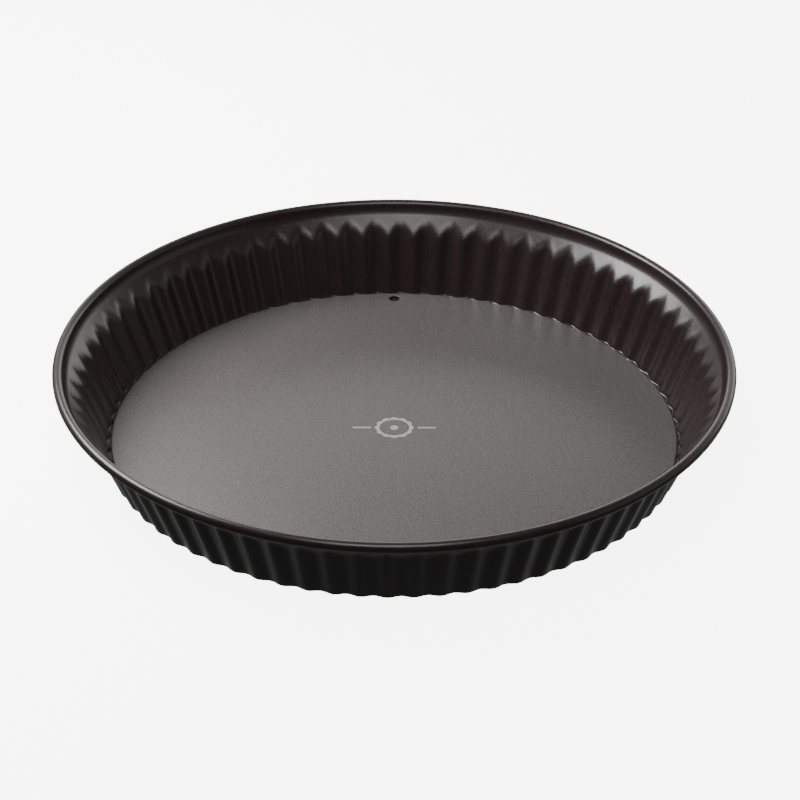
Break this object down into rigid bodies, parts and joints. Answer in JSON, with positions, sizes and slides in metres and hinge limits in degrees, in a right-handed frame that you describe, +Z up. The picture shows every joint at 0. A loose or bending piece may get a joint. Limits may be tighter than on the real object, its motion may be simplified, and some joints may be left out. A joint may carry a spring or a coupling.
{
  "type": "tart pan",
  "caption": "Round fluted tart pan with sloping ribbed walls, a rolled rim and a flat loose base with a hanging hole, in dark satin non-stick coated steel.",
  "frame": {"origin": "centre of the pan in the plane that it stands on", "axes": "+Z up along the pan's axis; -Y towards the front, +Y towards the side with the hanging hole"},
  "size_m": [0.292, 0.292, 0.0398],
  "materials": {
    "ring_coating": "dark anthracite satin non-stick coating on drawn steel",
    "base_coating": "anthracite pearl satin non-stick coating on rolled steel sheet"
  },
  "bodies": {
    "ring": {"fluted_ring": "ring_coating"},
    "base": {"loose_base": "base_coating"}
  },
  "joints": [
    {"name": "base_lift", "type": "slide", "parent": "ring", "child": "base", "axis": [0, 0, 1], "range_m": [0, 0.06]}
  ]
}
